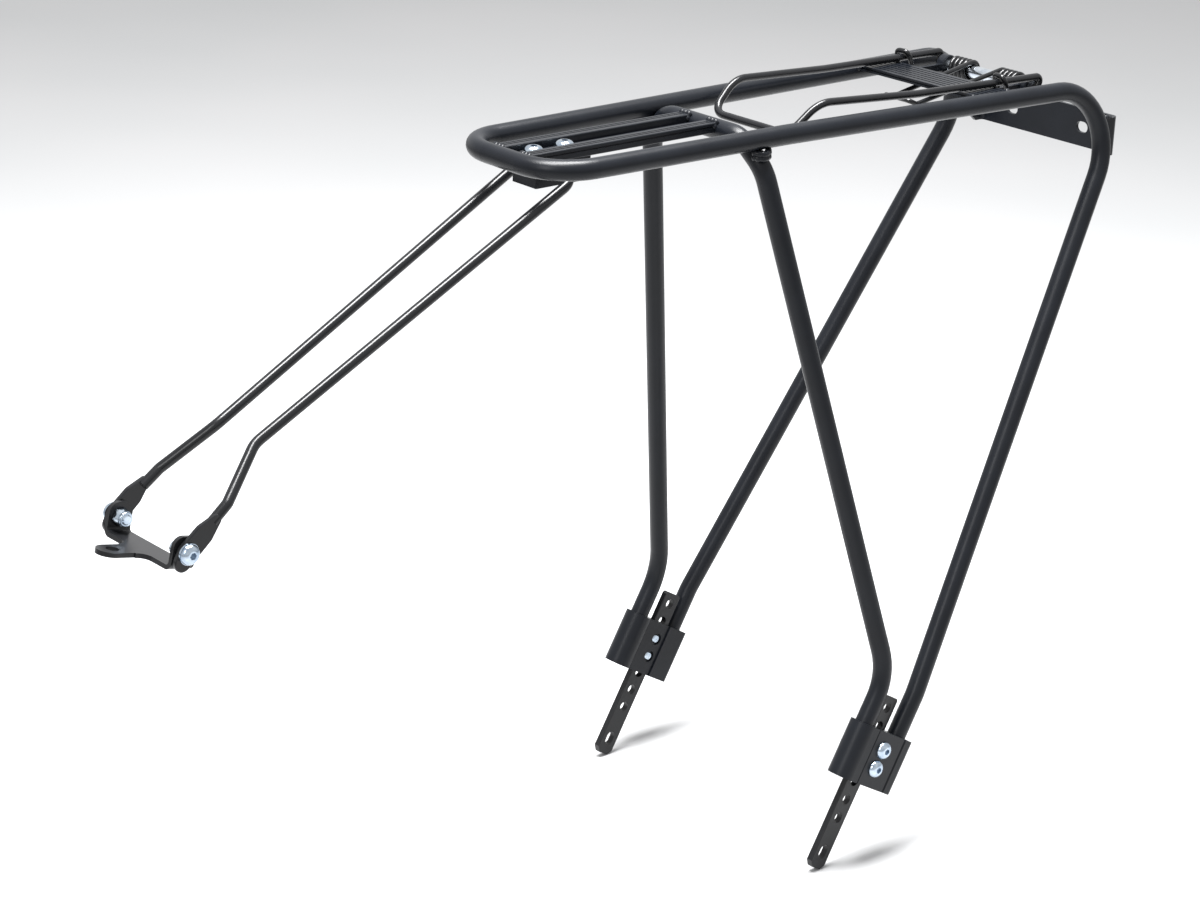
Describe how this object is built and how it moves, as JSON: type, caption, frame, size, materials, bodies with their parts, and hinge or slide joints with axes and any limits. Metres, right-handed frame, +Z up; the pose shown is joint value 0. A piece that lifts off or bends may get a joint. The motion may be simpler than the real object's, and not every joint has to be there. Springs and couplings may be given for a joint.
{
  "type": "bicycle rear rack",
  "caption": "Tubular rear luggage rack for a bicycle with a sprung wire clamp, adjustable feet and a sliding, swivelling front stay.",
  "frame": {"origin": "bottom centre of the whole rack's box", "axes": "+X points to the front of the bicycle, +Y to its left and +Z up"},
  "size_m": [0.6082, 0.1942, 0.3937],
  "materials": {
    "satin_black": "satin",
    "satin_bar": "satin",
    "gloss_rod": "semi-gloss",
    "gloss_steel": "semi-gloss",
    "spring_wire": "gloss",
    "zinc": "bright zinc"
  },
  "bodies": {
    "frame": {"front_leg_hoop": "satin_black", "hinge_tube": "zinc", "left_adjuster_strip": "gloss_steel", "left_clamp_bolts": "zinc", "left_deck_bar": "satin_bar", "left_hinge_lug": "satin_black", "left_leg_clamp": "satin_black", "main_tube": "satin_black", "rear_bridge_plate": "satin_bar", "rear_light_bracket": "satin_black", "right_adjuster_strip": "gloss_steel", "right_clamp_bolts": "zinc", "right_deck_bar": "satin_bar", "right_hinge_lug": "satin_black", "right_leg_clamp": "satin_black", "torsion_spring": "spring_wire"},
    "stay_clamp": {"stay_clamp_top": "satin_black", "stay_clamp_base": "satin_black", "stay_clamp_bolts": "zinc", "stay_clamp_washers": "zinc", "stay_clamp_nuts": "zinc"},
    "stay": {"front_stay": "gloss_rod", "bracket_bolts": "zinc", "bracket_washers": "zinc", "bracket_nuts": "zinc"},
    "bracket": {"front_bracket": "gloss_steel"},
    "spring_clamp": {"spring_bail": "gloss_rod"}
  },
  "joints": [
    {"name": "stay_clamp_slide", "type": "slide", "parent": "frame", "child": "stay_clamp", "axis": [1, 0, 0], "range_m": [-0.07, 0.004]},
    {"name": "front_stay_pivot", "type": "hinge", "parent": "stay_clamp", "child": "stay", "pos_m": [0.05466, 0, 0.37306], "axis": [0, 1, 0], "range_deg": [-28, 48]},
    {"name": "front_bracket_pivot", "type": "hinge", "parent": "stay", "child": "bracket", "pos_m": [0.27656, 0, 0.24146], "axis": [0, 1, 0], "range_deg": [-60, 60]},
    {"name": "spring_clamp_hinge", "type": "hinge", "parent": "frame", "child": "spring_clamp", "pos_m": [-0.24964, 0, 0.38056], "axis": [0, -1, 0], "range_deg": [0, 75], "stiffness_Nm_per_rad": 4.5, "springref_deg": -14.9, "deforming": ["torsion_spring"]}
  ]
}
